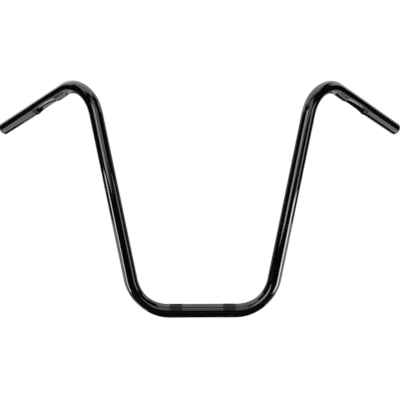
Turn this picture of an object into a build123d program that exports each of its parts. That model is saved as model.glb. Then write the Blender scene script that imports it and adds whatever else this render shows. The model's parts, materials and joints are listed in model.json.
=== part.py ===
from build123d import *
import os
from math import pi, sin

# Ape hanger handlebar: one hollow steel tube with four bends, in millimetres and degrees.
# The origin is on the tube's axis, at the middle of the clamp section. X runs along the clamp
# section, Z is up, and the grips sweep back along +Y, towards the rider.

# Tube
TUBE_D = 25.4
WALL = 2.4

# Centre line, from the clamp section out to a bar end
CLAMP_STRAIGHT = 124.0
LOWER_BEND_R = 73.0
RISER_LEAN = 11.5
RISER_STRAIGHT = 313.0
UPPER_BEND_R = 65.0
GRIP_SWEEP = 41.5
GRIP_DROOP = 15.5
GRIP_STRAIGHT = 226.0

# What cold bending does to the section at the middle of a bend: thinner in the plane of the
# bend, wider across it
BEND_FLATTEN = 2.4
BEND_SPREAD = 0.8

# Knurled bands that the clamp bites on, at the two ends of the clamp section
KNURL_W = 24.0
KNURL_TO_BEND = 0.5
KNURL_RAISE = 0.1

# Dimple under each grip, where the switch wires lie, turned a little to the rear. The punch that
# presses it is a few millimetres longer than the dimple.
PUNCH_L = 74.0
PUNCH_R = 22.0
PUNCH_TO_BEND = 27.0
DIMPLE_DEPTH = 9.5
DIMPLE_RIM_R = 2.5
DIMPLE_TURN = 3.0

# The pressing also swells the tube's radius, up to a shoulder past each end of the punch, where
# the swelling fades out
SWELL = 0.2
SWELL_SHOULDER = 4.0
SWELL_FADE = 8.0

# Deburred edges of the bar ends, outside and inside
END_BREAK = 0.6

# Sections that a bend is swept through
BEND_SECTIONS = 5

# Control points at each shoulder of the punch's profile: the more, the blunter its ends
SHOULDER_POINTS = 3

# How far out they lie, for the middle of the profile to reach the punch's radius
PROFILE_REACH = 1 / (1 - 0.5 ** (2 * SHOULDER_POINTS))

TUBE_R = TUBE_D / 2
BORE_R = TUBE_R - WALL
SWELL_L = PUNCH_L + 2 * SWELL_SHOULDER
STRETCH_L = SWELL_L + 2 * SWELL_FADE


def square_to(along, direction):
    """The part of a direction that is square to another, one unit long."""
    return (direction - along * along.dot(direction)).normalized()


# Directions on the +X side
clamp_dir = Vector(1, 0, 0)
riser_dir = clamp_dir.rotate(Axis.Y, RISER_LEAN - 90)
grip_dir = clamp_dir.rotate(Axis.Y, GRIP_DROOP).rotate(Axis.Z, GRIP_SWEEP)
under_grip = square_to(grip_dir, Vector(0, 0, -1))
dimple_dir = under_grip.rotate(Axis(Vector(), grip_dir), DIMPLE_TURN)


def run(start, along, length, radius):
    """Straight round bar."""
    return extrude(Plane(start, z_dir=along) * Circle(radius), length)


def bend(start, along, onward, bend_r, radius):
    """Bar that turns from one direction to the next, with its end point."""
    across = along.cross(onward).normalized()
    turn = along.get_angle(onward)
    path = Plane(start, x_dir=along, z_dir=across) * JernArc((0, 0), (1, 0), bend_r, turn)
    sections = []
    for section in range(BEND_SECTIONS):
        share = section / (BEND_SECTIONS - 1)
        change = sin(pi * share) ** 2
        oval = Ellipse(radius + BEND_SPREAD / 2 * change, radius - BEND_FLATTEN / 2 * change)
        sections.append(Plane(path @ share, x_dir=across, z_dir=path % share) * oval)
    return sweep(sections, path, multisection=True), path @ 1


def swollen_stretch(radius):
    """Stretch of bar along Z that a pressing has swollen, round and centred on the origin."""
    swollen_r = radius + SWELL
    fade_at = (SWELL_L + SWELL_FADE) / 2
    bar = Cylinder(swollen_r, SWELL_L)
    bar += Pos(Z=fade_at) * Cone(swollen_r, radius, SWELL_FADE)
    bar += Pos(Z=-fade_at) * Cone(radius, swollen_r, SWELL_FADE)
    return bar


def dimple_punch(grow):
    """Blunt-ended punch, at its full depth in the +Y side of a stretch of bar along Z."""
    end = PUNCH_L / 2 + grow
    reach = (PUNCH_R + grow) * PROFILE_REACH
    shoulders = SHOULDER_POINTS * [(reach, end)] + SHOULDER_POINTS * [(reach, -end)]
    profile = Bezier((0, end), *shoulders, (0, -end))
    half_outline = make_face([profile, Line((0, -end), (0, end))])
    punch = revolve(Plane.XZ * half_outline, Axis.Z)
    return Pos(Y=TUBE_R - DIMPLE_DEPTH + PUNCH_R) * punch


def dimpled_outside():
    """Outside of the dimpled stretch, with the dimple's rim rounded."""
    stretch = swollen_stretch(TUBE_R)
    punch = dimple_punch(0)
    pressed = stretch - punch
    return fillet(new_edges(stretch, punch, combined=pressed), DIMPLE_RIM_R)


def dimpled_bore():
    """Bore of the dimpled stretch, where the wall bulges in and keeps its thickness."""
    return swollen_stretch(BORE_R) - dimple_punch(WALL)


def half_bar(radius, dimpled_stretch):
    """Solid bar along the +X half of the centre line, from the middle of the clamp section."""
    clamp_end = clamp_dir * (CLAMP_STRAIGHT / 2)
    bar = run(Vector(), clamp_dir, CLAMP_STRAIGHT / 2, radius)

    lower_bend, riser_start = bend(clamp_end, clamp_dir, riser_dir, LOWER_BEND_R, radius)
    bar += lower_bend
    bar += run(riser_start, riser_dir, RISER_STRAIGHT, radius)

    riser_end = riser_start + riser_dir * RISER_STRAIGHT
    upper_bend, grip_start = bend(riser_end, riser_dir, grip_dir, UPPER_BEND_R, radius)
    bar += upper_bend

    dimple_at = PUNCH_TO_BEND + PUNCH_L / 2
    inner_l = dimple_at - STRETCH_L / 2
    outer_from = dimple_at + STRETCH_L / 2
    bar += run(grip_start, grip_dir, inner_l, radius)
    dimple_frame = Plane(grip_start + grip_dir * dimple_at, dimple_dir.cross(grip_dir), grip_dir)
    bar += dimple_frame * dimpled_stretch
    bar += run(grip_start + grip_dir * outer_from, grip_dir, GRIP_STRAIGHT - outer_from, radius)
    return bar


def half_handlebar():
    """The +X half of the handlebar."""
    outside = half_bar(TUBE_R, dimpled_outside())
    band_from = CLAMP_STRAIGHT / 2 - KNURL_TO_BEND - KNURL_W
    outside += run(clamp_dir * band_from, clamp_dir, KNURL_W, TUBE_R + KNURL_RAISE)

    tube = outside - half_bar(BORE_R, dimpled_bore())
    bar_end = tube.faces().filter_by(GeomType.PLANE).sort_by(Axis.X)[-1]
    return chamfer(bar_end.edges(), END_BREAK)


half = half_handlebar()
handlebar = half + mirror(half, Plane.YZ)

os.makedirs("parts", exist_ok=True)
export_step(handlebar, "parts/handlebar.step")
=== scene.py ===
import json
from math import pi, radians

import bpy
from mathutils import Matrix, Vector


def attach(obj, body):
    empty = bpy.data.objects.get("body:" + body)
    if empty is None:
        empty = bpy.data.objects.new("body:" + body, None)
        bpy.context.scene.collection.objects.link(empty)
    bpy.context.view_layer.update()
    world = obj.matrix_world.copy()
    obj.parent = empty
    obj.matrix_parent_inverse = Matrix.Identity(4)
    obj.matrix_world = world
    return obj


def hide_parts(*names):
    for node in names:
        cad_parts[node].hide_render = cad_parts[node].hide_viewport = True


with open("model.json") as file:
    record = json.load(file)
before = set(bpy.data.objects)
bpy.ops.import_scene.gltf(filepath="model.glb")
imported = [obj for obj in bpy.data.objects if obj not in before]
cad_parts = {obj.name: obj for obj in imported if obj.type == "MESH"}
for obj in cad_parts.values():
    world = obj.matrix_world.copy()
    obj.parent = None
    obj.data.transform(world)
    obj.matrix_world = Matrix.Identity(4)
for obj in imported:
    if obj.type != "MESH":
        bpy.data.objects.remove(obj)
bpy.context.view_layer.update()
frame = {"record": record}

# Ape hanger handlebar: one steel tube with four bends, two knurled bands and a dimple under each
# grip, coated gloss black. Lengths are in metres and angles in radians.

MM = 0.001

# Sizes that the frame gives
mounts = {mount["name"]: mount for mount in frame["record"]["mounts"]}
clamp_section = mounts["clamp_section"]["dims"]
plain_end = mounts["left_grip"]["dims"]
TUBE_R = plain_end["r_mm"] * MM
BORE_R = mounts["left_bar_end"]["dims"]["r_mm"] * MM
WALL = TUBE_R - BORE_R
CLAMP_HALF = clamp_section["length_mm"] * MM / 2
PLAIN_END = plain_end["length_mm"] * MM
grip_dir = Vector(mounts["left_grip"]["axis"])

# Bends and straights, from the clamp section out to a bar end
LOWER_BEND_R = 73 * MM
RISER_LEAN = radians(11.5)
RISER_L = 313 * MM
UPPER_BEND_R = 65 * MM
BEND_FLATTEN = 2.4 * MM
BEND_SPREAD = 0.8 * MM
END_BREAK = 0.6 * MM

# Dimple under each grip and the swelling round it. The punch's ends are blunt, so its taper is small.
PUNCH_L = 74 * MM
PUNCH_R = 22 * MM
PUNCH_TO_BEND = 27 * MM
DIMPLE_DEPTH = 9.5 * MM
DIMPLE_TURN = radians(3)
PUNCH_TAPER = 0.1
RIM_SOFTNESS = 6 * MM
SWELL = 0.2 * MM
SWELL_SHOULDER = 4 * MM
SWELL_FADE = 8 * MM

# Diamond knurl on the clamp section: its teeth are sunk a little into the tube, and a tooth's flat
# crest is a share of its foot
KNURL_W = 24 * MM
KNURL_TO_BEND = 0.5 * MM
KNURL_RAISE = 0.1 * MM
KNURL_DEPTH = 0.3 * MM
KNURL_SINK = 0.05 * MM
KNURL_TEETH_ROUND = 42
KNURL_CREST = 0.6

# Mesh of the tube
FACES_AROUND = 96
WELD = 0.01 * MM
SHARP_ANGLE = radians(30)

# Patterns in the materials
GLOSS_PATCH = 45 * MM
ORANGE_PEEL = 4 * MM
PEEL_DEPTH = 0.3 * MM
SOOT_PATCH = 12 * MM

# Shares of a tooth's height from which it gets smoother, and from which it has its gloss skin
RUBBED_FROM = 0.8
SKIN_FROM = 0.97

# The tube while it is still straight, with the clamp section's middle at the origin and X along it
ALONG = Vector((1, 0, 0))
lower_turn = pi / 2 - RISER_LEAN
lower_axis = Vector((0, -1, 0))
unbend_lower = Matrix.Rotation(-lower_turn, 3, lower_axis)
grip_from_riser = unbend_lower @ grip_dir
upper_turn = ALONG.angle(grip_from_riser)
upper_axis = ALONG.cross(grip_from_riser).normalized()
unbend_upper = Matrix.Rotation(-upper_turn, 3, upper_axis)
under_grip = (Vector((0, 0, -1)) + grip_dir * grip_dir.z).normalized()
dimple_dir = Matrix.Rotation(DIMPLE_TURN, 3, grip_dir) @ under_grip
dimple_side = unbend_upper @ unbend_lower @ dimple_dir


def linear(code):
    """Linear colour of an sRGB hex code."""
    shares = [int(code[at:at + 2], 16) / 255 for at in (1, 3, 5)]
    light = [s / 12.92 if s <= 0.04045 else ((s + 0.055) / 1.055) ** 2.4 for s in shares]
    return (*light, 1)


def add(tree, kind, inputs=None, **settings):
    """Adds a node with its settings, and sets or links its inputs by name or place."""
    node = tree.nodes.new(kind)
    for name, value in settings.items():
        setattr(node, name, value)
    for name, value in (inputs or {}).items():
        for source in value if isinstance(value, list) else [value]:
            if isinstance(source, bpy.types.Node):
                source = next(socket for socket in source.outputs if socket.enabled)
            if isinstance(source, bpy.types.NodeSocket):
                tree.links.new(source, node.inputs[name])
            else:
                node.inputs[name].default_value = source
    return node


SOCKET_KINDS = {
    float: "NodeSocketFloat",
    int: "NodeSocketInt",
    Vector: "NodeSocketVector",
    bpy.types.Material: "NodeSocketMaterial",
}


def make_piece(name, sizes, build):
    """Plain mesh from a node tree that build fills, with the sizes as the tree's named inputs."""
    tree = bpy.data.node_groups.new(name, "GeometryNodeTree")
    keys = {}
    for label, value in sizes.items():
        kind = SOCKET_KINDS[type(value)]
        keys[label] = tree.interface.new_socket(label, in_out="INPUT", socket_type=kind).identifier
    tree.interface.new_socket("Mesh", in_out="OUTPUT", socket_type="NodeSocketGeometry")
    inputs = add(tree, "NodeGroupInput").outputs
    add(tree, "NodeGroupOutput", {"Mesh": build(tree, inputs)})

    maker = bpy.data.objects.new(name + "_maker", bpy.data.meshes.new(name + "_maker"))
    bpy.context.scene.collection.objects.link(maker)
    modifier = maker.modifiers.new("maker", "NODES")
    modifier.node_group = tree
    for label, value in sizes.items():
        modifier[keys[label]] = value
    depsgraph = bpy.context.evaluated_depsgraph_get()
    mesh = bpy.data.meshes.new_from_object(maker.evaluated_get(depsgraph))
    bpy.data.objects.remove(maker)
    mesh.name = name
    piece = bpy.data.objects.new(name, mesh)
    bpy.context.scene.collection.objects.link(piece)
    return piece


# Materials

def powder_coat():
    """Gloss black powder coat, sprayed on the bent tube and baked: it melts to a hard, deep skin
    that mirrors the room, with the faint ripple called orange peel."""
    material = bpy.data.materials.new("gloss_black_powder_coat")
    material.use_nodes = True
    tree = material.node_tree
    shader = tree.nodes["Principled BSDF"]
    place = add(tree, "ShaderNodeTexCoord").outputs["Object"]
    patches = add(tree, "ShaderNodeTexNoise",
                  {"Vector": place, "Scale": 1 / GLOSS_PATCH, "Detail": 2.0})
    colour = add(tree, "ShaderNodeMix", {"Factor": patches.outputs["Fac"]}, data_type="RGBA")
    colour.inputs["A"].default_value = linear("#020202")
    colour.inputs["B"].default_value = linear("#070708")
    tree.links.new(colour.outputs["Result"], shader.inputs["Base Color"])
    gloss = add(tree, "ShaderNodeMapRange",
                {"Value": patches.outputs["Fac"], "To Min": 0.05, "To Max": 0.11})
    tree.links.new(gloss.outputs[0], shader.inputs["Roughness"])
    peel = add(tree, "ShaderNodeTexNoise", {"Vector": place, "Scale": 1 / ORANGE_PEEL, "Detail": 1.0})
    ripple = add(tree, "ShaderNodeBump",
                 {"Height": peel.outputs["Fac"], "Strength": 0.04, "Distance": PEEL_DEPTH})
    tree.links.new(ripple.outputs["Normal"], shader.inputs["Normal"])
    tree.links.new(ripple.outputs["Normal"], shader.inputs["Coat Normal"])
    shader.inputs["IOR"].default_value = 1.5
    shader.inputs["Coat Weight"].default_value = 1.0
    shader.inputs["Coat Roughness"].default_value = 0.03
    shader.inputs["Coat IOR"].default_value = 1.5
    return material


def bore_steel():
    """Drawn steel inside the tube, dark with mill oil and overspray: a dull metal, uneven in its
    colour and its shine."""
    material = bpy.data.materials.new("drawn_steel_bore")
    material.use_nodes = True
    tree = material.node_tree
    shader = tree.nodes["Principled BSDF"]
    place = add(tree, "ShaderNodeTexCoord").outputs["Object"]
    soot = add(tree, "ShaderNodeTexNoise", {"Vector": place, "Scale": 1 / SOOT_PATCH, "Detail": 4.0})
    colour = add(tree, "ShaderNodeMix", {"Factor": soot.outputs["Fac"]}, data_type="RGBA")
    colour.inputs["A"].default_value = linear("#1b1b1c")
    colour.inputs["B"].default_value = linear("#3a3937")
    tree.links.new(colour.outputs["Result"], shader.inputs["Base Color"])
    dull = add(tree, "ShaderNodeMapRange",
               {"Value": soot.outputs["Fac"], "To Min": 0.4, "To Max": 0.65})
    tree.links.new(dull.outputs[0], shader.inputs["Roughness"])
    shader.inputs["Metallic"].default_value = 1.0
    return material


def knurl_coat():
    """The same coat over the knurl: it has its gloss skin on the flat crests alone, and is rough on
    the flanks, so that the bands look duller than the tube. Its colour is darker towards the feet of
    the teeth, which is painted shade in the valleys between them."""
    material = bpy.data.materials.new("black_coat_on_knurl")
    material.use_nodes = True
    tree = material.node_tree
    shader = tree.nodes["Principled BSDF"]
    crest = add(tree, "ShaderNodeAttribute", attribute_name="crest").outputs["Fac"]
    # Painted shade: the colour darkens from the crests down to the feet of the teeth, where the valleys
    # lie in shade
    colour = add(tree, "ShaderNodeMix", {"Factor": crest}, data_type="RGBA")
    colour.inputs["A"].default_value = linear("#020202")
    colour.inputs["B"].default_value = linear("#0a0a0b")
    tree.links.new(colour.outputs["Result"], shader.inputs["Base Color"])
    rub = add(tree, "ShaderNodeMapRange",
              {"Value": crest, "From Min": RUBBED_FROM, "To Min": 0.5, "To Max": 0.15})
    tree.links.new(rub.outputs[0], shader.inputs["Roughness"])
    skin = add(tree, "ShaderNodeMapRange", {"Value": crest, "From Min": SKIN_FROM})
    tree.links.new(skin.outputs[0], shader.inputs["Coat Weight"])
    shader.inputs["IOR"].default_value = 1.5
    shader.inputs["Specular IOR Level"].default_value = 0.03
    shader.inputs["Coat Roughness"].default_value = 0.1
    shader.inputs["Coat IOR"].default_value = 1.6
    return material


# Tube

def bend(tree, point, radial, along, sizes, station):
    """Bends the straight tube at one station: it is drawn round a former, and what lies beyond the
    former turns with it. The section flattens in the plane of the bend and spreads across it."""
    bend_at, bend_r = sizes[station + " bend at"], sizes[station + " bend radius"]
    turn, axis = sizes[station + " turn"], sizes[station + " bend axis"]
    arc = add(tree, "ShaderNodeMath", {0: bend_r, 1: turn}, operation="MULTIPLY")
    bend_to = add(tree, "ShaderNodeMath", {0: bend_at, 1: arc}, operation="ADD")
    share = add(tree, "ShaderNodeMapRange",
                {"Value": along, "From Min": bend_at, "From Max": bend_to})
    inward = add(tree, "ShaderNodeVectorMath", {0: axis, 1: ALONG}, operation="CROSS_PRODUCT")

    half_turn = add(tree, "ShaderNodeMath", {0: share, 1: pi}, operation="MULTIPLY")
    swing = add(tree, "ShaderNodeMath", {0: half_turn}, operation="SINE")
    change = add(tree, "ShaderNodeMath", {0: swing, 1: 2.0}, operation="POWER")
    for direction, diameter_change in ((axis, sizes["Bend spread"]), (inward, sizes["Bend flatten"])):
        part = add(tree, "ShaderNodeVectorMath", {0: radial, 1: direction}, operation="DOT_PRODUCT")
        most = add(tree, "ShaderNodeMath", {0: part, 1: diameter_change}, operation="MULTIPLY")
        shift = add(tree, "ShaderNodeMath", {0: most, 1: change}, operation="MULTIPLY")
        half_shift = add(tree, "ShaderNodeMath", {0: shift, 1: 0.5}, operation="MULTIPLY")
        step = add(tree, "ShaderNodeVectorMath", {0: direction, "Scale": half_shift}, operation="SCALE")
        point = add(tree, "ShaderNodeVectorMath", {0: point, 1: step}, operation="ADD")

    drawn = add(tree, "ShaderNodeMath", {0: share, 1: arc}, operation="MULTIPLY")
    slide = add(tree, "ShaderNodeCombineXYZ", {"X": drawn})
    start = add(tree, "ShaderNodeCombineXYZ", {"X": bend_at})
    reach = add(tree, "ShaderNodeVectorMath", {0: inward, "Scale": bend_r}, operation="SCALE")
    centre = add(tree, "ShaderNodeVectorMath", {0: start, 1: reach}, operation="ADD")
    angle = add(tree, "ShaderNodeMath", {0: share, 1: turn}, operation="MULTIPLY")
    slid = add(tree, "ShaderNodeVectorMath", {0: point, 1: slide}, operation="SUBTRACT")
    return add(tree, "ShaderNodeVectorRotate",
               {"Vector": slid, "Center": centre, "Axis": axis, "Angle": angle})


def dimple(tree, offset, along, grow, sizes):
    """Presses the dimple into one side of the straight tube. The punch is a blunt-ended round bar,
    and inside the tube it is larger by the wall."""
    beyond = add(tree, "ShaderNodeMath", {0: along, 1: sizes["Dimple middle"]}, operation="SUBTRACT")
    half_l = add(tree, "ShaderNodeMath", {0: sizes["Punch length"], 1: 0.5, 2: grow},
                 operation="MULTIPLY_ADD")
    share = add(tree, "ShaderNodeMath", {0: beyond, 1: half_l}, operation="DIVIDE")
    squared = add(tree, "ShaderNodeMath", {0: share, 1: 2.0}, operation="POWER")
    left = add(tree, "ShaderNodeMath", {0: 1.0, 1: squared}, operation="SUBTRACT", use_clamp=True)
    taper = add(tree, "ShaderNodeMath", {0: left, 1: sizes["Punch taper"]}, operation="POWER")
    punch_r = add(tree, "ShaderNodeMath", {0: sizes["Punch radius"], 1: grow}, operation="ADD")
    width = add(tree, "ShaderNodeMath", {0: punch_r, 1: taper}, operation="MULTIPLY")

    side = sizes["Dimple side"]
    sideways = add(tree, "ShaderNodeVectorMath", {0: side, 1: ALONG}, operation="CROSS_PRODUCT")
    aside = add(tree, "ShaderNodeVectorMath", {0: offset, 1: sideways}, operation="DOT_PRODUCT")
    height = add(tree, "ShaderNodeVectorMath", {0: offset, 1: side}, operation="DOT_PRODUCT")
    width_squared = add(tree, "ShaderNodeMath", {0: width, 1: width}, operation="MULTIPLY")
    aside_squared = add(tree, "ShaderNodeMath", {0: aside, 1: aside}, operation="MULTIPLY")
    rest = add(tree, "ShaderNodeMath", {0: width_squared, 1: aside_squared}, operation="SUBTRACT")
    kept = add(tree, "ShaderNodeMath", {0: rest, 1: 0.0}, operation="MAXIMUM")
    sag = add(tree, "ShaderNodeMath", {0: kept}, operation="SQRT")
    floor = add(tree, "ShaderNodeMath", {0: sizes["Punch height"], 1: sag}, operation="SUBTRACT")
    pressed = add(tree, "ShaderNodeMath", {0: height, 1: floor, 2: sizes["Rim softness"]},
                  operation="SMOOTH_MIN")
    drop = add(tree, "ShaderNodeMath", {0: pressed, 1: height}, operation="SUBTRACT")
    push = add(tree, "ShaderNodeVectorMath", {0: side, "Scale": drop}, operation="SCALE")
    return add(tree, "ShaderNodeVectorMath", {0: offset, 1: push}, operation="ADD")


lower_bend_at = CLAMP_HALF
riser_at = lower_bend_at + LOWER_BEND_R * lower_turn
upper_bend_at = riser_at + RISER_L
grip_at = upper_bend_at + UPPER_BEND_R * upper_turn
dimple_at = grip_at + PUNCH_TO_BEND + PUNCH_L / 2
stretch_half = PUNCH_L / 2 + SWELL_SHOULDER + SWELL_FADE
band_from = CLAMP_HALF - KNURL_TO_BEND - KNURL_W
knurl_root_r = TUBE_R + KNURL_RAISE - KNURL_DEPTH
knurl_sunk = TUBE_R - knurl_root_r

# The skin of half a tube as one walk, out along the outside, over the bar end and back along the
# bore. Each step has its rows of faces, its length along the tube and its change of radius.
OUTSIDE = (
    (8, band_from, 0.0),
    (1, 0.0, -knurl_sunk),
    (2, KNURL_W, 0.0),
    (1, 0.0, knurl_sunk),
    (1, KNURL_TO_BEND, 0.0),
    (40, riser_at - lower_bend_at, 0.0),
    (40, RISER_L, 0.0),
    (48, grip_at - upper_bend_at, 0.0),
    (6, dimple_at - stretch_half - grip_at, 0.0),
    (116, 2 * stretch_half, 0.0),
    (16, PLAIN_END, 0.0),
    (1, END_BREAK, -END_BREAK),
    (1, 0.0, 2 * END_BREAK - WALL),
)
INSIDE = (
    (1, -END_BREAK, -END_BREAK),
    (6, -PLAIN_END, 0.0),
    (58, -2 * stretch_half, 0.0),
    (2, grip_at + stretch_half - dimple_at, 0.0),
    (24, upper_bend_at - grip_at, 0.0),
    (8, -RISER_L, 0.0),
    (20, lower_bend_at - riser_at, 0.0),
    (4, -CLAMP_HALF, 0.0),
)
OUTSIDE_ROWS = sum(rows for rows, length, thicker in OUTSIDE)
ROWS = OUTSIDE_ROWS + sum(rows for rows, length, thicker in INSIDE)


def tube_nodes(tree, sizes):
    """Nodes of the whole tube: a flat grid is rolled up to the straight tube, pressed, bent at both
    stations, and mirrored."""
    columns = add(tree, "ShaderNodeMath", {0: sizes["Faces around"], 1: 1.0}, operation="ADD")
    grid = add(tree, "GeometryNodeMeshGrid",
               {"Size X": 1.0, "Size Y": float(ROWS), "Vertices X": columns, "Vertices Y": ROWS + 1})
    cell = add(tree, "ShaderNodeSeparateXYZ", {0: add(tree, "GeometryNodeInputPosition")})
    row = add(tree, "ShaderNodeMath", {0: cell.outputs["Y"], 1: ROWS / 2}, operation="ADD")
    turn_share = add(tree, "ShaderNodeMath", {0: cell.outputs["X"], 1: 0.5}, operation="ADD")
    theta = add(tree, "ShaderNodeMath", {0: turn_share, 1: 2 * pi}, operation="MULTIPLY")
    radial = add(tree, "ShaderNodeCombineXYZ",
                 {"Y": add(tree, "ShaderNodeMath", {0: theta}, operation="COSINE"),
                  "Z": add(tree, "ShaderNodeMath", {0: theta}, operation="SINE")})

    along, radius = 0.0, sizes["Tube radius"]
    first_row = 0
    for rows, length, thicker in OUTSIDE + INSIDE:
        step = {"Value": row, "From Min": float(first_row), "From Max": float(first_row + rows)}
        if length:
            ahead = add(tree, "ShaderNodeMapRange", {**step, "To Max": length})
            along = add(tree, "ShaderNodeMath", {0: along, 1: ahead}, operation="ADD")
        if thicker:
            out = add(tree, "ShaderNodeMapRange", {**step, "To Max": thicker})
            radius = add(tree, "ShaderNodeMath", {0: radius, 1: out}, operation="ADD")
        first_row += rows
    grow = add(tree, "ShaderNodeMath", {0: sizes["Tube radius"], 1: radius}, operation="SUBTRACT")

    beyond = add(tree, "ShaderNodeMath", {0: along, 1: sizes["Dimple middle"]}, operation="SUBTRACT")
    apart = add(tree, "ShaderNodeMath", {0: beyond}, operation="ABSOLUTE")
    swelling = add(tree, "ShaderNodeMapRange",
                   {"Value": apart, "From Min": stretch_half - SWELL_FADE, "From Max": stretch_half,
                    "To Min": sizes["Swelling"], "To Max": 0.0})
    swollen = add(tree, "ShaderNodeMath", {0: radius, 1: swelling}, operation="ADD")
    offset = add(tree, "ShaderNodeVectorMath", {0: radial, "Scale": swollen}, operation="SCALE")
    pressed = dimple(tree, offset, along, grow, sizes)
    spine = add(tree, "ShaderNodeCombineXYZ", {"X": along})
    point = add(tree, "ShaderNodeVectorMath", {0: spine, 1: pressed}, operation="ADD")
    for station in ("Upper", "Lower"):
        point = bend(tree, point, radial, along, sizes, station)

    marked = add(tree, "GeometryNodeCaptureAttribute", {"Geometry": grid}, domain="POINT")
    marked.capture_items.new("FLOAT", "Row")
    tree.links.new(row.outputs[0], marked.inputs["Row"])
    half = add(tree, "GeometryNodeSetPosition", {"Geometry": marked, "Position": point})
    other = add(tree, "GeometryNodeTransform", {"Geometry": half, "Scale": (-1, 1, 1)})
    turned = add(tree, "GeometryNodeFlipFaces", {0: other})
    both = add(tree, "GeometryNodeJoinGeometry", {0: [half, turned]})
    whole = add(tree, "GeometryNodeMergeByDistance", {"Geometry": both, "Distance": sizes["Weld"]})
    smooth = add(tree, "GeometryNodeSetShadeSmooth", {"Geometry": whole, "Shade Smooth": True})
    edge = add(tree, "GeometryNodeInputMeshEdgeAngle")
    sharp = add(tree, "FunctionNodeCompare", {0: edge.outputs[0], 1: sizes["Sharp angle"]})
    edged = add(tree, "GeometryNodeSetShadeSmooth",
                {"Geometry": smooth, "Selection": sharp, "Shade Smooth": False}, domain="EDGE")
    real = add(tree, "GeometryNodeRealizeInstances", {0: edged})
    coated = add(tree, "GeometryNodeSetMaterial", {"Geometry": real, "Material": sizes["Coat"]})
    inside = add(tree, "FunctionNodeCompare", {0: marked.outputs["Row"], 1: float(OUTSIDE_ROWS)})
    return add(tree, "GeometryNodeSetMaterial",
               {"Geometry": coated, "Selection": inside, "Material": sizes["Bore"]})


tube = make_piece("tube", {
    "Faces around": FACES_AROUND,
    "Tube radius": TUBE_R,
    "Lower bend at": lower_bend_at,
    "Lower bend radius": LOWER_BEND_R,
    "Lower turn": lower_turn,
    "Lower bend axis": lower_axis,
    "Upper bend at": upper_bend_at,
    "Upper bend radius": UPPER_BEND_R,
    "Upper turn": upper_turn,
    "Upper bend axis": upper_axis,
    "Bend flatten": -BEND_FLATTEN,
    "Bend spread": BEND_SPREAD,
    "Swelling": SWELL,
    "Dimple middle": dimple_at,
    "Dimple side": dimple_side,
    "Punch length": PUNCH_L,
    "Punch radius": PUNCH_R,
    "Punch height": TUBE_R - DIMPLE_DEPTH + PUNCH_R,
    "Punch taper": PUNCH_TAPER,
    "Rim softness": RIM_SOFTNESS,
    "Weld": WELD,
    "Sharp angle": SHARP_ANGLE,
    "Coat": powder_coat(),
    "Bore": bore_steel(),
}, tube_nodes)
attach(tube, "root")
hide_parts("handlebar")


# Knurl

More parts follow.
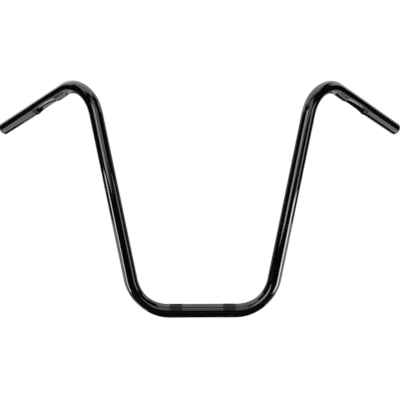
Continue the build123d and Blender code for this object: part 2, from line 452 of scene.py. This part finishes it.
def knurl_nodes(tree, sizes):
    """Nodes of both knurled bands: blunt four-sided teeth on every other point of a lattice that is
    rolled round the tube, so that they meet in a diamond pattern."""
    height = sizes["Tooth height"]
    tooth = add(tree, "GeometryNodeMeshCone",
                {"Vertices": 4, "Radius Top": sizes["Crest share"], "Radius Bottom": 1.0,
                 "Depth": height}, fill_type="NGON")
    place = add(tree, "ShaderNodeSeparateXYZ", {0: add(tree, "GeometryNodeInputPosition")})
    crest = add(tree, "ShaderNodeMath", {0: place.outputs["Z"], 1: height}, operation="DIVIDE")
    marked_tooth = add(tree, "GeometryNodeStoreNamedAttribute",
                       {"Geometry": tooth, "Name": "crest", "Value": crest}, data_type="FLOAT")

    rows, columns = sizes["Half pitches along"], sizes["Half pitches round"]
    last_column = add(tree, "ShaderNodeMath", {0: columns, 1: 1.0}, operation="SUBTRACT")
    last_row = add(tree, "ShaderNodeMath", {0: rows, 1: 1.0}, operation="SUBTRACT")
    lattice = add(tree, "GeometryNodeMeshGrid", {"Size X": last_row, "Size Y": last_column,
                                                 "Vertices X": rows, "Vertices Y": columns})
    half_last = add(tree, "ShaderNodeMath", {0: last_column, 1: 0.5}, operation="MULTIPLY")
    column = add(tree, "ShaderNodeMath", {0: place.outputs["Y"], 1: half_last}, operation="ADD")
    both = add(tree, "ShaderNodeMath", {0: place.outputs["X"], 1: column}, operation="ADD")
    odd = add(tree, "ShaderNodeMath", {0: both, 1: 2.0}, operation="FLOORED_MODULO")
    even = add(tree, "FunctionNodeCompare", {0: odd, 1: 0.5}, operation="LESS_THAN")
    step = add(tree, "ShaderNodeMath", {0: 2 * pi, 1: columns}, operation="DIVIDE")
    theta = add(tree, "ShaderNodeMath", {0: column, 1: step}, operation="MULTIPLY")
    ring = {"Y": add(tree, "ShaderNodeMath", {0: theta}, operation="COSINE"),
            "Z": add(tree, "ShaderNodeMath", {0: theta}, operation="SINE")}
    across = add(tree, "ShaderNodeVectorMath", {0: add(tree, "ShaderNodeCombineXYZ", ring),
                                                "Scale": sizes["Root radius"]}, operation="SCALE")
    shift = add(tree, "ShaderNodeMath", {0: place.outputs["X"], 1: sizes["Half pitch along"],
                                         2: sizes["Band middle"]}, operation="MULTIPLY_ADD")
    spot = add(tree, "ShaderNodeVectorMath", {0: add(tree, "ShaderNodeCombineXYZ", {"X": shift}),
                                              1: across}, operation="ADD")
    kept = add(tree, "GeometryNodeCaptureAttribute", {"Geometry": lattice}, domain="POINT")
    kept.capture_items.new("BOOLEAN", "Even")
    kept.capture_items.new("FLOAT", "Theta")
    tree.links.new(even.outputs[0], kept.inputs["Even"])
    tree.links.new(theta.outputs[0], kept.inputs["Theta"])
    rolled = add(tree, "GeometryNodeSetPosition", {"Geometry": kept, "Position": spot})

    tilt = add(tree, "ShaderNodeMath", {0: kept.outputs["Theta"], 1: pi / 2}, operation="SUBTRACT")
    outward = add(tree, "FunctionNodeAxisAngleToRotation", {"Axis": ALONG, "Angle": tilt})
    spread = add(tree, "ShaderNodeCombineXYZ", {"X": sizes["Half pitch along"],
                                                "Y": sizes["Half pitch round"], "Z": 1.0})
    teeth = add(tree, "GeometryNodeInstanceOnPoints",
                {"Points": rolled, "Selection": kept.outputs["Even"], "Instance": marked_tooth,
                 "Rotation": outward, "Scale": spread})
    band = add(tree, "GeometryNodeRealizeInstances", {0: teeth})
    other = add(tree, "GeometryNodeTransform", {"Geometry": band, "Scale": (-1, 1, 1)})
    turned = add(tree, "GeometryNodeFlipFaces", {0: other})
    bands = add(tree, "GeometryNodeJoinGeometry", {0: [band, turned]})
    real = add(tree, "GeometryNodeRealizeInstances", {0: bands})
    return add(tree, "GeometryNodeSetMaterial", {"Geometry": real, "Material": sizes["Coat"]})


half_pitch_round = pi * knurl_root_r / KNURL_TEETH_ROUND
half_pitches_along = 2 * round(KNURL_W / half_pitch_round / 2) - 1
half_pitch_along = KNURL_W / (half_pitches_along + 1)
knurl = make_piece("knurl", {
    "Band middle": band_from + KNURL_W / 2,
    "Root radius": knurl_root_r - KNURL_SINK,
    "Tooth height": KNURL_DEPTH + KNURL_SINK,
    "Crest share": KNURL_CREST,
    "Half pitches round": 2 * KNURL_TEETH_ROUND,
    "Half pitches along": half_pitches_along,
    "Half pitch round": half_pitch_round,
    "Half pitch along": half_pitch_along,
    "Coat": knurl_coat(),
}, knurl_nodes)
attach(knurl, "root")


# Studio: white surroundings light the colours. Gloss black shows what it mirrors, so soft panels and
# black flags stand outside the picture, where only the gloss sees them.

BAR_MIDDLE = (0, 0.05, 0.2)
X, Y, Z = range(3)

# Watts for a square metre of panel of brightness one
PANEL_WATTS = 4

# Where panels and flags stand
FRONT_PANEL_Y = -1.4
FRONT_FLAG_Y = -1.7
SIDE_FLAG_X = 1.5
BACK_FLAG_Y = 4.0
LOW_FLAG_Z = -0.68

# Floor: up to the first radius it shows the bar's shadow, and from the second on it is all white
FLOOR_Z = -2.0
FLOOR_W = 10.0
FLAG_OVER_FLOOR = 0.02
SHADOW_R = 0.25
WHITE_FROM_R = 0.6


def facing(middle, aim):
    """Place of a flat thing that looks from its middle at a point."""
    turn = (Vector(aim) - Vector(middle)).to_track_quat("-Z", "Y")
    return Matrix.Translation(middle) @ turn.to_matrix().to_4x4()


def light_panel(name, middle, aim, width, height, brightness):
    """Soft light panel, equally bright all over."""
    lamp = bpy.data.lights.new(name, "AREA")
    lamp.shape = "RECTANGLE"
    lamp.size = width
    lamp.size_y = height
    lamp.energy = PANEL_WATTS * brightness * width * height
    panel = bpy.data.objects.new(name, lamp)
    panel.matrix_world = facing(middle, aim)
    panel.visible_camera = False
    panel.visible_diffuse = False
    bpy.context.scene.collection.objects.link(panel)


def sheet(name, width, height, material):
    """Flat rectangle, centred on the origin."""
    mesh = bpy.data.meshes.new(name)
    x, y = width / 2, height / 2
    mesh.from_pydata([(-x, -y, 0), (x, -y, 0), (x, y, 0), (-x, y, 0)], [], [(0, 1, 2, 3)])
    mesh.materials.append(material)
    piece = bpy.data.objects.new(name, mesh)
    bpy.context.scene.collection.objects.link(piece)
    return piece


def flag_cloth():
    """Black felted cloth, which soaks up the light."""
    material = bpy.data.materials.new("black_cloth")
    material.use_nodes = True
    shader = material.node_tree.nodes["Principled BSDF"]
    shader.inputs["Base Color"].default_value = linear("#050505")
    shader.inputs["Roughness"].default_value = 1.0
    return material


cloth = flag_cloth()


def black_flag(name, middle, axis, width, height):
    """Black cloth on a frame that keeps white off one side of the gloss. It faces the bar along one
    axis."""
    aim = Vector(middle)
    aim[axis] = 0
    flag = sheet(name, width, height, cloth)
    flag.matrix_world = facing(middle, aim)
    flag.visible_camera = False
    flag.visible_diffuse = False
    flag.visible_shadow = False


def floor_paper():
    """Matt white paper, which stays white to the eye away from the bar's shadow."""
    material = bpy.data.materials.new("white_paper")
    material.use_nodes = True
    tree = material.node_tree
    tree.nodes.clear()
    path = add(tree, "ShaderNodeLightPath")
    seen = add(tree, "ShaderNodeMath", {0: path.outputs["Is Camera Ray"],
                                        1: path.outputs["Is Glossy Ray"]}, operation="MAXIMUM")
    shown = add(tree, "ShaderNodeMath", {0: seen, 1: path.outputs["Is Transmission Ray"]},
                operation="MAXIMUM")
    place = add(tree, "ShaderNodeTexCoord").outputs["Object"]
    away = add(tree, "ShaderNodeVectorMath", {0: place}, operation="LENGTH")
    far = add(tree, "ShaderNodeMapRange",
              {"Value": away, "From Min": SHADOW_R, "From Max": WHITE_FROM_R})
    share = add(tree, "ShaderNodeMath", {0: shown, 1: far}, operation="MULTIPLY")
    paper = add(tree, "ShaderNodeBsdfDiffuse", {"Color": linear("#f8f8f8")})
    white = add(tree, "ShaderNodeEmission", {"Color": linear("#ffffff"), "Strength": 1.0})
    mixed = add(tree, "ShaderNodeMixShader", {0: share, 1: paper, 2: white})
    add(tree, "ShaderNodeOutputMaterial", {"Surface": mixed})
    return material


light_panel("back_left_panel", (-1.0, 1.3, 1.35), BAR_MIDDLE, 0.8, 0.9, 0.5)
light_panel("left_strip", (-1.15, -0.58, -0.27), (0, 0, -0.27), 0.35, 0.78, 5.4)
light_panel("right_strip", (1.15, -0.58, -0.31), (0, 0, -0.31), 0.55, 0.7, 6.2)
light_panel("front_left_panel", (-0.6, FRONT_PANEL_Y, 0.6), (-0.1, 0, 0.3), 0.7, 0.8, 2.4)
light_panel("front_panel", (0, FRONT_PANEL_Y, 0.8), (0, 0, 0.3), 0.5, 1.0, 0.5)
light_panel("front_high_panel", (0, FRONT_PANEL_Y, 1.6), BAR_MIDDLE, 0.8, 0.6, 0.85)
light_panel("front_right_panel", (0.5, FRONT_PANEL_Y, 0.86), (0.5, 0, 0.86), 0.6, 0.68, 0.85)
light_panel("right_panel", (1.25, -0.8, 0.3), BAR_MIDDLE, 0.5, 0.6, 1.4)

for side, x in (("left", -SIDE_FLAG_X), ("right", SIDE_FLAG_X)):
    black_flag(side + "_low_flag", (x, -1.0, -0.415), X, 1.4, 0.53)
    black_flag(side + "_flag", (x, -0.4, 0.45), X, 2.6, 1.2)
    black_flag(side + "_high_flag", (x, -0.85, 1.5), X, 1.7, 0.9)
black_flag("right_top_flag", (SIDE_FLAG_X, -0.4, 3.15), X, 2.6, 2.4)
black_flag("front_flag", (0, FRONT_FLAG_Y, 1.85), Y, 3.0, 5.0)
black_flag("front_low_flag", (0, -0.75, LOW_FLAG_Z), Z, 3.0, 1.9)
black_flag("back_low_flag", (0.105, 0.75, LOW_FLAG_Z), Z, 1.11, 1.1)
black_flag("back_low_left_flag", (-0.87, 1.05, LOW_FLAG_Z), Z, 0.3, 0.5)
black_flag("back_low_right_flag", (0.84, 0.98, LOW_FLAG_Z), Z, 0.36, 0.64)
black_flag("back_floor_flag", (0.2, 3.575, FLOOR_Z + FLAG_OVER_FLOOR), Z, 3.2, 2.15)
black_flag("back_high_flag", (0, BACK_FLAG_Y, 3.01), Y, 6.0, 2.18)
black_flag("back_left_flag", (-3.4, BACK_FLAG_Y, 0.275), Y, 3.2, 4.45)
black_flag("back_right_flag", (3.47, BACK_FLAG_Y, 0.275), Y, 3.06, 4.45)

floor = sheet("floor", FLOOR_W, FLOOR_W, floor_paper())
floor.location.z = FLOOR_Z

world = bpy.data.worlds.new("white_studio")
world.use_nodes = True
surroundings = world.node_tree.nodes["Background"]
surroundings.inputs["Color"].default_value = linear("#ffffff")
surroundings.inputs["Strength"].default_value = 1.0
bpy.context.scene.world = world


# Camera, where the photograph was taken from
CAMERA_AT = (-0.0211, -1.0427, 0.2314)
CAMERA_YAW = radians(-0.896)
CAMERA_PITCH = radians(-1.3957)
CAMERA_ROLL = radians(-0.066)
LENS_MM = 50.66
SENSOR_MM = 36
lens = bpy.data.cameras.new("camera")
lens.lens = LENS_MM
lens.sensor_width = SENSOR_MM
camera = bpy.data.objects.new("camera", lens)
camera.matrix_world = (Matrix.Translation(CAMERA_AT) @ Matrix.Rotation(CAMERA_YAW, 4, "Z")
                       @ Matrix.Rotation(pi / 2 + CAMERA_PITCH, 4, "X")
                       @ Matrix.Rotation(CAMERA_ROLL, 4, "Z"))
bpy.context.scene.collection.objects.link(camera)
bpy.context.scene.camera = camera
bpy.context.scene.view_settings.view_transform = "Standard"
